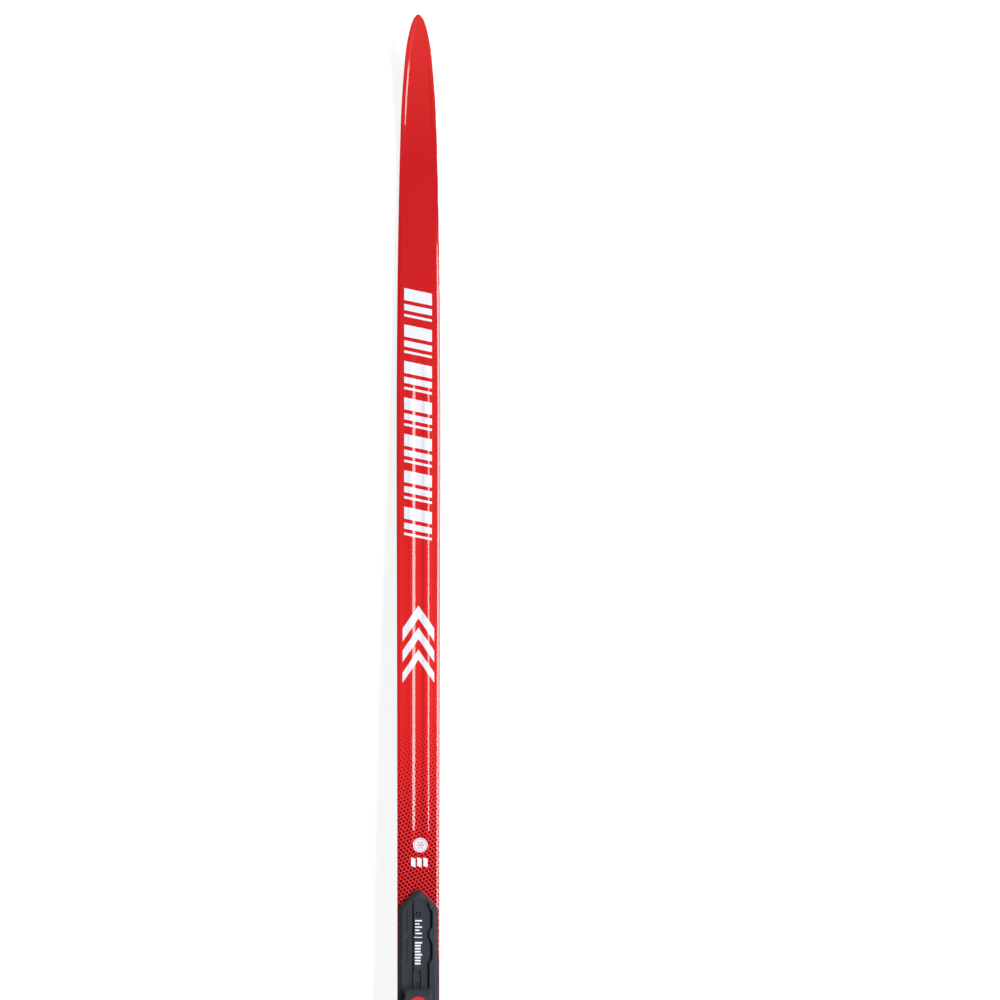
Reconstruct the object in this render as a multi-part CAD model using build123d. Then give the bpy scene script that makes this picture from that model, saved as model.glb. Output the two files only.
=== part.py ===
from build123d import *
import math
import os

# Cross country touring/racing ski, 202 cm, with the bonded rail plate and the two-piece
# toe-and-heel binding that slides on it.
#
# Frame: +Y towards the tip, +X to the skier's right, +Z up, millimetres.
# Origin: on the running surface, on the centre line, directly under the boot bar.

# ---------------------------------------------------------------- driving dimensions
LENGTH = 2020.0
TIP_Y = 1075.0
TAIL_Y = TIP_Y - LENGTH
DECK_Z = 25.0              # top of the ski over the flat binding zone
FLAT_FRONT_Y = 178.0       # the ski is flat between these two stations
FLAT_REAR_Y = -280.0
CAMBER = 28.0              # unloaded arch height over the contact points
CONTACT_FRONT_Y = 880.0
CONTACT_REAR_Y = -850.0
TIP_RISE = 50.0            # above the contact points
TAIL_RISE = 11.0
TAIL_CORNER = 11.0         # corner radius of the tail in plan
TIP_T = 5.2                # ski thickness at the tip

BASE_T = 1.5               # sintered running base
LOWER_LAM_T = 0.6
UPPER_LAM_T = 0.7
GAP = 0.05                 # glue line between bonded layers
CAP_SKIRT_T = 0.8          # topsheet wall on the sides
SIDEWALL_T = 1.4
CORE_LOW = BASE_T + LOWER_LAM_T + 2 * GAP      # underside of the core

CORE_Y0, CORE_Y1 = TAIL_Y + 95.0, TIP_Y - 205.0   # core and sidewalls; spacers beyond
TAIL_CAP_Y = TAIL_Y + 14.0                        # the tail protector is behind this
FOAM_X = 7.0               # half width of the foam strip between the stringers
AIR_WALL = 1.6             # stringer left above and below its air channels
AIR_CHANNELS = ((8.6, 12.2), (13.8, 17.4))        # inner and outer X of each channel

GROOVE_W = 6.0             # guide groove in the base
GROOVE_D = 0.9
GROOVE_MARGIN = 14.0       # from the skin to the ends of the groove
SKIN_W = 32.0              # mohair strip let into the kick zone
SKIN_Y0, SKIN_Y1 = -120.0, 292.0
SKIN_CORNER = 10.0         # cut-off corners of the strip
SKIN_POCKET_D = 0.9
SKIN_CLEARANCE = 0.3
PILE_T = 0.33
BACKING_LOW = 0.38

PLATE_Z0 = DECK_Z + 0.2    # underside of the rail plate
BOND_GAP = 0.02            # above and below the bond film
PLATE_FLOOR = 27.6
LIP_Z0 = 29.5              # underside of the rail lips
LIP_Z1 = 31.2              # top of the rails
PLATE_TIP_Y = 161.0
PLATE_REAR_Y = -268.0
PLATE_HALF_W = 21.6
LIP_X = 11.7               # inner edge of the lips
CHANNEL_X = 15.0           # inner wall under the lips
POCKET_X = 14.9            # lips open to here at the drop-in pockets
RACK_PITCH = 2.0           # tooth pitch of both adjustment racks
RACK_TOP = 29.3

BINDING_Z0 = 31.4          # underside of the binding above the rails
BINDING_HALF_W = 20.4
RIDGE_X = (8.4, 14.0)      # guide ridges that key into the boot sole
TOE_DECK = 35.8            # deck of the toe piece
HEEL_DECK = 35.0
HEEL_Y0, HEEL_Y1 = -252.0, -190.0
TAB_Y, TAB_Z = HEEL_Y0 + 16.0, 33.3    # axis of the heel tab's pin
TAB_BORE_R = 1.2

BAR_Z = 41.0               # boot bar axis
BAR_R = 2.1                # seat radius for the boot's 4 mm bar
SEAT_HALF = 8.0            # half length of the seat
TANG_X, TANG_Y0, TANG_Y1 = 5.0, -6.5, -3.0        # tang under the seat
TANG_Z0 = 33.45
TANG_CLEARANCE = 0.05
FOOT_X = (9.2, 13.2)       # feet under the flexor
FOOT_Y0, FOOT_Y1, FOOT_Z0 = 9.5, 18.5, 34.1
FOOT_CLEARANCE = 0.1

LEVER_Y, LEVER_Z = 26.0, 42.0   # lever pivot
PIN_R = 1.5
LEVER_HALF_W = 13.8
FLEXOR_HALF_W = 13.7
FINGER_Y0, FINGER_Y1 = LEVER_Y - 1.5, LEVER_Y + 1.5   # crank finger, rear and front
FINGER_GAP = 0.45          # play between the crank finger and the jaw at rest
JAW_Z0, JAW_Z1 = 33.1, 34.85
HOOK_HALF_W = 6.2
SPRING_Z = 34.0            # axis of the jaw's return spring
SPRING_POST_R = 0.85

LATCH_LIFT = 1.1           # the toe latch is drawn lifted clear of its rack
HEEL_TAB_LIFT = 8.0        # and the heel tab swung up by this many degrees

OVERLAP = 0.2              # how far joined shapes reach into each other
OVERRUN = 1.0              # how far cutters reach past a face
SIDES = (-1, 1)            # left, right
Z_LOW, Z_HIGH = -90.0, 110.0    # taller than the whole ski, for cutting in plan

# distance behind the tip -> half width
HALF_WIDTH = [
    (1.6, 2.9), (3.7, 4.5), (5.7, 5.65), (9.9, 7.3), (14.1, 8.6), (18.3, 9.65), (22.5, 10.6),
    (26.6, 11.45), (32.9, 12.5), (39.2, 13.35), (49.1, 14.35), (59.6, 15.3), (70.0, 16.15),
    (80.5, 16.9), (90.9, 17.55), (111.8, 18.55), (132.7, 19.2), (153.6, 19.8), (174.5, 20.3),
    (195.4, 20.7), (226.8, 21.3), (258.0, 21.8), (300.0, 22.25), (352.0, 22.7), (415.0, 22.95),
    (480.0, 22.95), (560.0, 22.75), (640.0, 22.5), (760.0, 22.2), (885.0, 22.0), (1010.0, 22.0),
    (1200.0, 22.0), (1400.0, 22.1), (1550.0, 22.35), (1700.0, 22.5), (1820.0, 22.5),
    (1900.0, 22.35), (1960.0, 22.0), (2010.0, 21.4),
]

# distance behind the tip -> ski thickness
THICKNESS = [
    (-30, TIP_T), (0, TIP_T), (60, 5.25), (130, 5.6), (200, 6.5), (300, 8.6), (450, 12.6),
    (600, 17.0), (750, 21.3), (840, 23.8), (897, DECK_Z), (1355, DECK_Z), (1440, 23.8),
    (1600, 19.2), (1750, 14.0), (1880, 9.9), (1960, 8.0), (2020, 7.2), (2060, 7.0),
]


# ---------------------------------------------------------------- shape helpers
def box(x0, x1, y0, y1, z0, z1):
    corner = (Align.MIN, Align.MIN, Align.MIN)
    return Box(x1 - x0, y1 - y0, z1 - z0, align=corner).moved(Location((x0, y0, z0)))


def column(x0, x1, y0, y1):
    """Box taller than the whole ski."""
    return box(x0, x1, y0, y1, Z_LOW, Z_HIGH)


def slab(y0, y1):
    """A stretch of the ski at its full width and height."""
    return column(-60, 60, y0, y1)


def span(side, inner, outer):
    """X range on one side of the centre line, low value first."""
    return sorted((side * inner, side * outer))


def prism(points, push):
    face = Face(Wire.make_polygon([Vector(*p) for p in points], close=True))
    return Solid.extrude(face, push)


def prism_z(points, z0, z1):
    """Polygon in XY pushed up from z0 to z1."""
    return prism([(x, y, z0) for x, y in points], Vector(0, 0, z1 - z0))


def prism_x(points, x0, x1):
    """Polygon in YZ pushed along X."""
    return prism([(x0, y, z) for y, z in points], Vector(x1 - x0, 0, 0))


def prism_y(points, y0, y1):
    """Polygon in XZ pushed along Y."""
    return prism([(x, y0, z) for x, z in points], Vector(0, y1 - y0, 0))


def mirrored(half):
    """Closed plan outline from its right-hand half."""
    return half + [(-x, y) for x, y in reversed(half)]


def rod(radius, length, place):
    """Cylinder from its start face along the Z axis of place."""
    base = (Align.CENTER, Align.CENTER, Align.MIN)
    return Cylinder(radius, length, align=base).moved(place)


def cyl_x(y, z, radius, x0, x1):
    return rod(radius, x1 - x0, Location((x0, y, z), (0, 90, 0)))


def cyl_z(x, y, radius, z0, z1):
    return rod(radius, z1 - z0, Location((x, y, z0)))


def coil(radius, wire_r, length, turns, place):
    path = Helix(pitch=length / turns, height=length, radius=radius)
    profile = Plane(origin=path @ 0, z_dir=path % 0) * Circle(wire_r)
    return sweep(profile, path=path, is_frenet=True).moved(place)


def tidy(shape, edges, amount, operation=chamfer):
    """Chamfer or fillet edges."""
    # The kernel may refuse or spoil an edge; the sharp body is kept then.
    try:
        edges = list(edges)
        if not edges:
            return shape
        done = operation(edges, amount)
        if done.is_valid and done.volume > 0.5 * shape.volume:
            return done
    except Exception:
        pass
    return shape


def edges_at(shape, z):
    return [e for e in shape.edges() if abs(e.center().Z - z) < 1e-6]


def side_edges(shape, half_width, z_above):
    """Edges lying in the two side faces, higher than z_above."""
    return [e for e in shape.edges()
            if abs(abs(e.center().X) - half_width) < 1e-6 and e.center().Z > z_above]


def write(name, *shapes):
    solids = [s for shape in shapes for s in shape.solids()]
    out = solids[0] if len(solids) == 1 else Compound(children=solids)
    out.label = name
    export_step(out, f"parts/{name}.step")


# ---------------------------------------------------------------- ski outline
def line(*points):
    return Edge.make_line(*[Vector(x, y, 0) for x, y in points])


def arc(*points):
    return Edge.make_three_point_arc(*[Vector(x, y, 0) for x, y in points])


def outline_points(inset):
    """Right-hand side of the plan outline from the tail to the apex, moved inwards."""
    raw = [(half_w, TIP_Y - s) for s, half_w in reversed(HALF_WIDTH)] + [(0.0, TIP_Y)]
    moved = []
    for i, (x, y) in enumerate(raw[:-1]):
        x0, y0 = raw[max(0, i - 1)]
        x1, y1 = raw[i + 1]
        along_x, along_y = x1 - x0, y1 - y0
        norm = math.hypot(along_x, along_y)
        in_x = x + -along_y / norm * inset
        in_y = y + along_x / norm * inset
        if in_x > 0.6:
            moved.append((in_x, in_y))
    # drop points that crowd each other, but always keep the apex
    keep = [moved[0]]
    for p in moved[1:]:
        if p[1] - keep[-1][1] > 0.9:
            keep.append(p)
    keep.append((0.0, TIP_Y - inset))
    if math.dist(keep[-1], keep[-2]) < 1.2:
        del keep[-2]
    return keep


def outline_prism(inset):
    """The plan outline, moved inwards, as a tall solid."""
    points = outline_points(inset)
    side_x = points[0][0]
    tail = TAIL_Y + inset
    radius = TAIL_CORNER - inset
    centre_x, centre_y = side_x - radius, tail + radius
    corner = (side_x, centre_y)
    points = [corner] + [p for p in points if p[1] > centre_y + 4.0]
    diagonal = radius * math.cos(math.radians(45))
    right = [
        line((0, tail), (centre_x, tail)),
        arc((centre_x, tail), (centre_x + diagonal, centre_y - diagonal), corner),
        Edge.make_spline([Vector(x, y, 0) for x, y in points],
                         tangents=[Vector(0.02, 1, 0), Vector(-1, 0, 0)]),
    ]
    face = Face(Wire(right + [e.mirror(Plane.YZ) for e in right]))
    solid = Solid.extrude(face, Vector(0, 0, Z_HIGH - Z_LOW))
    return solid.moved(Location((0, 0, Z_LOW)))


# ---------------------------------------------------------------- side profile
# In this section s is the distance behind the tip, and a height is a function of s that
# gives the distance above the running surface.
def smooth(u):
    u = min(1.0, max(0.0, u))
    return u * u * (3 - 2 * u)


def base_z(y):
    """Running surface: flat zone, camber arches, then the rise of the tip or tail."""
    if FLAT_REAR_Y <= y <= FLAT_FRONT_Y:
        return 0.0
    if y > FLAT_FRONT_Y:
        if y <= CONTACT_FRONT_Y:
            return -CAMBER * smooth((y - FLAT_FRONT_Y) / (CONTACT_FRONT_Y - FLAT_FRONT_Y))
        v = (y - CONTACT_FRONT_Y) / (TIP_Y - CONTACT_FRONT_Y)
        return -CAMBER + TIP_RISE * v ** 2.1
    if y >= CONTACT_REAR_Y:
        return -CAMBER * smooth((FLAT_REAR_Y - y) / (FLAT_REAR_Y - CONTACT_REAR_Y))
    v = (CONTACT_REAR_Y - y) / (CONTACT_REAR_Y - TAIL_Y)
    return -CAMBER + TAIL_RISE * v ** 2.0


def thickness(s):
    """Monotone cubic through THICKNESS."""
    pts = THICKNESS
    if s <= pts[0][0]:
        return pts[0][1]
    if s >= pts[-1][0]:
        return pts[-1][1]
    n = len(pts)
    slopes = [(pts[i + 1][1] - pts[i][1]) / (pts[i + 1][0] - pts[i][0]) for i in range(n - 1)]
    tangents = [slopes[0]]
    for before, after in zip(slopes, slopes[1:]):
        flat = before * after <= 0
        tangents.append(0.0 if flat else 2 * before * after / (before + after))
    tangents.append(slopes[-1])
    i = next(i for i in range(n - 1) if pts[i][0] <= s <= pts[i + 1][0])
    h = pts[i + 1][0] - pts[i][0]
    t = (s - pts[i][0]) / h
    return ((2 * t**3 - 3 * t**2 + 1) * pts[i][1]
            + (t**3 - 2 * t**2 + t) * h * tangents[i]
            + (-2 * t**3 + 3 * t**2) * pts[i + 1][1]
            + (t**3 - t**2) * h * tangents[i + 1])


def topsheet_t(s):
    """The moulded topsheet is thicker where the longitudinal ribs are pressed into it."""
    front = smooth((s - 170.0) / 120.0)
    rear = smooth((LENGTH - 60.0 - s) / 100.0)
    return 1.1 + 0.5 * min(front, rear)


def laminate_top(s):
    return topsheet_t(s) + GAP


def laminate_low(s):
    return topsheet_t(s) + GAP + UPPER_LAM_T


def core_top(s):
    return topsheet_t(s) + 2 * GAP + UPPER_LAM_T


def skirt_bottom(s):
    """Height of the cap's lower edge."""
    return CORE_LOW + 0.34 * max(0.0, thickness(s) - TIP_T)


def valley_depth(s):
    """Central valley between the two lengthwise ribs; negative means no cut."""
    ahead = min(smooth((s - 310.0) / 110.0), smooth((872.0 - s) / 60.0))
    behind = min(smooth((s - 1385.0) / 60.0), smooth((1840.0 - s) / 160.0))
    return 0.95 * max(ahead, behind) - 0.15


def tip_depth(s):
    """Recessed field behind the raised tip rim, fading out along the shovel."""
    return 0.75 * smooth((s + 40.0) / 40.0) * smooth((150.0 - s) / 110.0) - 0.15


def above_base(distance):
    """Height at a fixed distance above the running surface."""
    return lambda s: distance


def below_top(depth):
    """Height below the top surface; the depth is a number or a function of s."""
    if callable(depth):
        return lambda s: thickness(s) - depth(s)
    return lambda s: thickness(s) - depth


def point(y, height):
    """The (y, z) point at a height measured square to the running surface."""
    half_step = 0.5
    slope = (base_z(y + half_step) - base_z(y - half_step)) / (2 * half_step)
    norm = math.hypot(1.0, slope)
    distance = height(TIP_Y - y)
    return (y + -slope / norm * distance, base_z(y) + 1.0 / norm * distance)


def stations(start, fine_from, end):
    """Y stations from start until they pass end, closer together beyond fine_from."""
    way = 1 if end > start else -1
    ys = [start]
    while way * ys[-1] < way * end:
        step = 46.0 if way * ys[-1] < way * fine_from else 20.0
        ys.append(ys[-1] + way * step)
    return ys


REAR_STATIONS = stations(FLAT_REAR_Y, -800, TAIL_Y - 22)[::-1]
FRONT_STATIONS = stations(FLAT_FRONT_Y, 820, TIP_Y + 26)


def curve(height):
    """Edges from rear to front: spline, straight over the flat zone, spline."""
    rear = [Vector(0, *point(y, height)) for y in REAR_STATIONS]
    front = [Vector(0, *point(y, height)) for y in FRONT_STATIONS]
    forward = Vector(0, 1, 0)
    rear_tangent = (rear[1] - rear[0]).normalized()
    front_tangent = (front[-1] - front[-2]).normalized()
    edges = [
        Edge.make_spline(rear, tangents=[rear_tangent, forward]),
        Edge.make_line(rear[-1], front[0]),
        Edge.make_spline(front, tangents=[forward, front_tangent]),
    ]
    return edges, rear[0], front[-1]


def band(low, high):
    """Solid between two heights, wider than the ski."""
    half_x = 40.0
    low_edges, low_rear, low_front = curve(low)
    high_edges, high_rear, high_front = curve(high)
    front_edge = Edge.make_line(low_front, high_front)
    rear_edge = Edge.make_line(high_rear, low_rear)
    face = Face(Wire(low_edges + [front_edge] + high_edges + [rear_edge]))
    solid = Solid.extrude(face, Vector(2 * half_x, 0, 0))
    return solid.moved(Location((-half_x, 0, 0)))


# ================================================================ the ski
FULL_PLAN = outline_prism(0.0)
CAP_PLAN = outline_prism(CAP_SKIRT_T)
INNER_PLAN = outline_prism(CAP_SKIRT_T + GAP)
SIDEWALL_PLAN = outline_prism(CAP_SKIRT_T + SIDEWALL_T + GAP)
CORE_PLAN = outline_prism(CAP_SKIRT_T + SIDEWALL_T + 2 * GAP)
MAIN_ZONE = slab(TAIL_CAP_Y + GAP, TIP_Y + 5)
CORE_ZONE = slab(CORE_Y0, CORE_Y1)


def topsheet():
    """A cap with a thin skirt down each side."""
    outer = band(skirt_bottom, below_top(0.0)) & FULL_PLAN & MAIN_ZONE
    inner = band(above_base(-5.0), below_top(topsheet_t)) & CAP_PLAN
    sheet = outer - inner
    valley_plan = [(-4.2, -900), (4.2, -900), (4.2, 800), (-4.2, 800)]
    valley = band(below_top(valley_depth), below_top(-4.0)) & prism_z(valley_plan, Z_LOW, Z_HIGH)
    sheet = sheet - valley
    tip_field = band(below_top(tip_depth), below_top(-4.0)) & outline_prism(4.2)
    return sheet - (tip_field & slab(TIP_Y - 160, TIP_Y - 14))


def upper_laminate():
    return band(below_top(laminate_low), below_top(laminate_top)) & INNER_PLAN & MAIN_ZONE


def lower_laminate():
    low = BASE_T + GAP
    return band(above_base(low), above_base(low + LOWER_LAM_T)) & FULL_PLAN & MAIN_ZONE


def core_parts():
    """The central foam strip, and the left and right stringers with their air channels."""
    core = band(above_base(CORE_LOW), below_top(core_top)) & CORE_PLAN & CORE_ZONE
    air = band(above_base(CORE_LOW + AIR_WALL), below_top(lambda s: core_top(s) + AIR_WALL))
    air = air & slab(TIP_Y - 1600.0, TIP_Y - 430.0)
    foam = core & column(-FOAM_X, FOAM_X, -2000, 2000)
    stringers = []
    for side in SIDES:
        stringer = core & column(*span(side, FOAM_X + GAP, 40), -2000, 2000)
        for inner, outer in AIR_CHANNELS:
            stringer = stringer - (air & column(*span(side, inner, outer), -2000, 2000))
        stringers.append(stringer)
    return foam, stringers


def sidewall(side):
    """Full width below the cap's skirt, stepped in behind it."""
    low_top = lambda s: max(CORE_LOW + 0.25, skirt_bottom(s) - GAP)
    low_strip = band(above_base(CORE_LOW), low_top) & FULL_PLAN & CORE_ZONE
    high_strip = band(above_base(CORE_LOW), below_top(core_top)) & INNER_PLAN & CORE_ZONE
    half_space = column(*span(side, 0.5, 60), -2000, 2000)
    wall = (low_strip & half_space) + (high_strip & half_space)
    return wall - SIDEWALL_PLAN


def spacer(y0, y1):
    """ABS filler that shapes the thin tip or tail where the core has run out."""
    return (band(above_base(CORE_LOW), below_top(core_top)) & INNER_PLAN) & slab(y0, y1)


def skin_plan(grow):
    w = SKIN_W / 2 + grow
    y0, y1 = SKIN_Y0 - grow, SKIN_Y1 + grow
    c = SKIN_CORNER
    half = [(w - c, y0), (w, y0 + c), (w, y1 - c), (w - c, y1)]
    return prism_z(mirrored(half), Z_LOW, Z_HIGH)


def glide_base():
    """Running base with its guide groove and the pocket for the skin."""
    base = band(above_base(0.0), above_base(BASE_T)) & FULL_PLAN & MAIN_ZONE
    for y0, y1 in ((TAIL_Y + 70, SKIN_Y0 - GROOVE_MARGIN), (SKIN_Y1 + GROOVE_MARGIN, TIP_Y - 150)):
        groove = band(above_base(-3.0), above_base(GROOVE_D))
        base = base - (groove & column(-GROOVE_W / 2, GROOVE_W / 2, y0, y1))
    pocket = band(above_base(-3.0), above_base(SKIN_POCKET_D)) & skin_plan(SKIN_CLEARANCE)
    return base - pocket


def skin_layer(low, high):
    return band(above_base(low), above_base(high)) & skin_plan(0.0)


def tail_protector():
    """Moulded end piece that closes the stack."""
    return band(above_base(0.0), below_top(0.0)) & FULL_PLAN & slab(TAIL_Y - 5, TAIL_CAP_Y)


# ================================================================ rail plate
def plate_bond_film():
    half = [(20.5, PLATE_REAR_Y + 4), (20.5, 90), (19.0, 138), (14.0, 145)]
    return prism_z(mirrored(half), DECK_Z + BOND_GAP, PLATE_Z0 - BOND_GAP)


def plate_face():
    """Plan of the plate: pointed nose, a slight step in width, rounded rear corners."""
    tip, rear, half_w = PLATE_TIP_Y, PLATE_REAR_Y, PLATE_HALF_W
    nose = (6.4, tip - 3.9)
    shoulder0, shoulder_mid, shoulder1 = (16.2, tip - 13.4), (19.4, tip - 17.4), (20.6, tip - 22.6)
    step0, step1 = (20.8, 96), (half_w, 86)
    corner0, corner_mid, corner1 = (half_w, rear + 7), (19.55, rear + 2.05), (14.6, rear)
    right = [
        line(nose, shoulder0),
        arc(shoulder0, shoulder_mid, shoulder1),
        line(shoulder1, step0),
        line(step0, step1),
        line(step1, corner0),
        arc(corner0, corner_mid, corner1),
        line(corner1, (0, rear)),
    ]
    front = arc((-nose[0], nose[1]), (0, tip), nose)
    return Face(Wire([front] + right + [e.mirror(Plane.YZ) for e in right]))


def rack_tooth(y):
    z0, z1 = PLATE_FLOOR - 0.1, 28.6
    profile = [(y - 0.65, z0), (y + 0.65, z0), (y + 0.35, z1), (y - 0.35, z1)]
    return prism_x(profile, -2.75, 2.75)


def rack_teeth(first_y, count):
    teeth = rack_tooth(first_y)
    for k in range(1, count):
        teeth = teeth + rack_tooth(first_y + RACK_PITCH * k)
    return teeth


def binding_plate():
    plate = Solid.extrude(plate_face(), Vector(0, 0, LIP_Z1 - PLATE_Z0))
    plate = plate.moved(Location((0, 0, PLATE_Z0)))

    # nose ramp, then the bevel along the rails' outer top edges
    nose = [e for e in edges_at(plate, LIP_Z1) if e.center().Y > PLATE_TIP_Y - 20]
    # the kernel may refuse the two-length chamfer; the nose stays square then
    try:
        ramped = plate.chamfer(2.6, 4.2, nose)
        if ramped.is_valid:
            plate = ramped
    except Exception:
        pass
    outer = [e for e in edges_at(plate, LIP_Z1)
             if abs(e.center().X) > 15 and e.center().Y < PLATE_TIP_Y - 24]
    plate = tidy(plate, outer, 1.0)

    # channel under the lips
    open_y = PLATE_REAR_Y - OVERRUN
    channel_half = [(CHANNEL_X, open_y), (CHANNEL_X, 141.5), (LIP_X - 1.0, 147.0)]
    channel = prism_z(mirrored(channel_half), PLATE_FLOOR, LIP_Z0)
    # opening between the lips, widened at two pairs of drop-in pockets
    slot_front = 151.0
    slot_half = [
        (8.6, slot_front), (LIP_X, slot_front - 4.2),
        (LIP_X, 142.9), (POCKET_X, 138.9), (POCKET_X, 122.9), (LIP_X, 118.1),
        (LIP_X, 111.7), (POCKET_X, 105.3), (POCKET_X, 90.1), (LIP_X, 85.3),
        (LIP_X, open_y),
    ]
    slot = prism_z(mirrored(slot_half), LIP_Z0 - 0.5, LIP_Z1 + OVERRUN)
    plate = plate - channel - slot
    pocket_x0 = LIP_X - 0.2
    for y0, y1 in ((118.1, 142.9), (85.3, 111.7)):
        right = [(pocket_x0, y0), (POCKET_X, y0 + 4.6), (POCKET_X, y1 - 4.6), (pocket_x0, y1)]
        left = [(-x, y) for x, y in reversed(right)]
        for pocket in (right, left):
            plate = plate - prism_z(pocket, PLATE_FLOOR - 0.7, LIP_Z0)

    # centre strip: plain ahead, toothed rack behind it, and the heel's rack at the rear
    sunk = PLATE_FLOOR - 0.1
    strip = box(-4.6, 4.6, 77.0, slot_front + 0.5, sunk, 30.0)
    rack_strip = box(-5.3, 5.3, -40.0, 77.0, sunk, RACK_TOP)
    rack_slot = box(-2.7, 2.7, -41.0, 77.0, PLATE_FLOOR, RACK_TOP + 0.1)
    plate = plate + strip + (rack_strip - rack_slot)
    plate = plate + rack_teeth(24.0, 21)
    heel_strip = box(-5.3, 5.3, -262.0, -170.0, sunk, RACK_TOP)
    heel_slot = box(-2.7, 2.7, -263.0, -169.0, PLATE_FLOOR, RACK_TOP + 0.1)
    plate = plate + (heel_strip - heel_slot)
    plate = plate + rack_teeth(-258.0, 23)

    # moulded gate recess and shoulder notches
    plate = plate - cyl_z(0.0, 136.0, 2.9, 29.5, 31.0)
    plate = plate + cyl_z(0.0, 136.0, 1.7, 29.4, 29.8)
    notch = [(12.2, 149.6), (14.6, 147.2), (17.3, 143.2), (16.4, 141.4), (14.0, 144.2)]
    for side in SIDES:
        plate = plate - prism_z([(side * x, y) for x, y in notch], 30.0, 32.0)
    return plate


# ================================================================ toe piece
def add_runners(body, y0, y1):
    """Join on two L-shaped runners that hook under the rail lips."""
    profile = [(7.6, 31.5), (7.6, 27.95), (14.5, 27.95), (14.5, 29.25), (11.4, 29.25), (11.4, 31.5)]
    for side in SIDES:
        body = body + prism_y([(side * x, z) for x, z in profile], y0, y1)
    return body


def toe_base():
    above = TOE_DECK + OVERRUN
    sunk = TOE_DECK - OVERLAP
    half_w = BINDING_HALF_W
    outline = [
        (-half_w, -97), (-17.4, -100), (17.4, -100), (half_w, -97),
        (half_w, 8), (19.2, 30), (16.6, 45), (13.4, 52),
        (-13.4, 52), (-16.6, 45), (-19.2, 30), (-half_w, 8),
    ]
    toe = prism_z(outline, BINDING_Z0, TOE_DECK)
    toe = tidy(toe, edges_at(toe, TOE_DECK), 1.4)
    front_corners = [e for e in toe.edges().filter_by(Axis.Z)
                     if e.center().Y > 20 and abs(e.center().X) > 12]
    toe = tidy(toe, front_corners, 3.0, fillet)
    toe = add_runners(toe, -92, 36)

    # slider channel, open upwards ahead of the seat, with lips that hold the slider down
    toe = toe - box(-7.8, 7.8, 2.35, 38.6, 33.0, above)
    toe = toe - box(-2.1, 2.1, 32.0, 42.0, 32.1, above)
    for side in SIDES:
        toe = toe + box(*span(side, 6.4, 8.0), 12.4, 38.8, 35.0, TOE_DECK)
    # post for the front end of the jaw spring
    toe = toe + rod(SPRING_POST_R, 1.7, Location((0, 42.1, SPRING_Z), (90, 0, 0)))

    # sockets for the flexor's feet and the tang of the steel seat
    gap = FOOT_CLEARANCE
    for side in SIDES:
        toe = toe - box(*span(side, FOOT_X[0] - gap, FOOT_X[1] + gap),
                        FOOT_Y0 - gap, FOOT_Y1 + gap, FOOT_Z0 - gap, above)
    gap = TANG_CLEARANCE
    toe = toe - box(-TANG_X - gap, TANG_X + gap, TANG_Y0 - gap, TANG_Y1 + gap,
                    TANG_Z0 - gap, above)

    # guide ridges
    ridge_profile = [(-98, sunk), (-98, 37.0), (-90, 42.0), (-20, 43.2), (-11, 43.2),
                     (-8.6, 40.6), (-8.6, sunk)]
    for side in SIDES:
        ridge = prism_x(ridge_profile, *span(side, *RIDGE_X))
        crest = [e for e in ridge.edges()
                 if e.center().Z > 38.0 and abs(e.tangent_at(0.5).Y) > 0.6]
        toe = toe + tidy(ridge, crest, 1.3)

    # cheeks that carry the lever pin
    cheek_profile = [(6.8, sunk), (6.8, 39.0), (12.0, 44.0), (21.5, 46.6), (28.5, 46.6),
                     (32.5, 43.0), (38.5, sunk)]
    for side in SIDES:
        cheek = prism_x(cheek_profile, *span(side, 14.2, 17.8))
        rim = [e for e in cheek.edges()
               if e.center().Z > 37.0 and abs(e.tangent_at(0.5).X) < 0.5]
        toe = toe + tidy(cheek, rim, 0.8)
    toe = toe - cyl_x(LEVER_Y, LEVER_Z, PIN_R, -18.5, 18.5)

    # chamber wall, latch well with its side walls, and the bar over it
    toe = toe + box(-9.4, 9.4, 42.0, 44.0, TOE_DECK - 0.3, 37.4)
    toe = toe - box(-5.4, 5.4, 44.2, 53.0, BINDING_Z0 - OVERRUN, TOE_DECK + 2)
    for side in SIDES:
        toe = toe + box(*span(side, 5.4, 9.4), 44.0, 51.0, TOE_DECK - 0.3, 39.1)
    toe = toe + box(-9.4, 9.4, 45.4, 50.6, 39.0, 40.3)

    # shallow lightening pockets between the ridges, with cross ribs left standing
    for k in range(5):
        y0 = -94.0 + k * 16.0
        toe = toe - box(-6.9, 6.9, y0, y0 + 13.0, 34.0, above)
    # grip grooves on the outer deck
    for k in range(7):
        y0 = -92.0 + k * 11.0
        for side in SIDES:
            toe = toe - box(*span(side, 15.6, 18.4), y0, y0 + 6.5, TOE_DECK - 0.9, above)
    return toe


def bar_seat():
    """Steel seat for the boot bar."""
    z0 = TOE_DECK + 0.02
    profile = [(-7.4, z0), (-7.4, 40.2), (-5.6, 43.0), (-BAR_R, 43.0), (-BAR_R, BAR_Z),
               (1.48, 39.5), (2.2, 39.5), (2.2, z0)]
    seat = prism_x(profile, -SEAT_HALF, SEAT_HALF)
    seat = seat - cyl_x(0, BAR_Z, BAR_R, -SEAT_HALF - OVERRUN, SEAT_HALF + OVERRUN)
    return seat + box(-TANG_X, TANG_X, TANG_Y0, TANG_Y1, TANG_Z0, TOE_DECK + 0.1)


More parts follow.
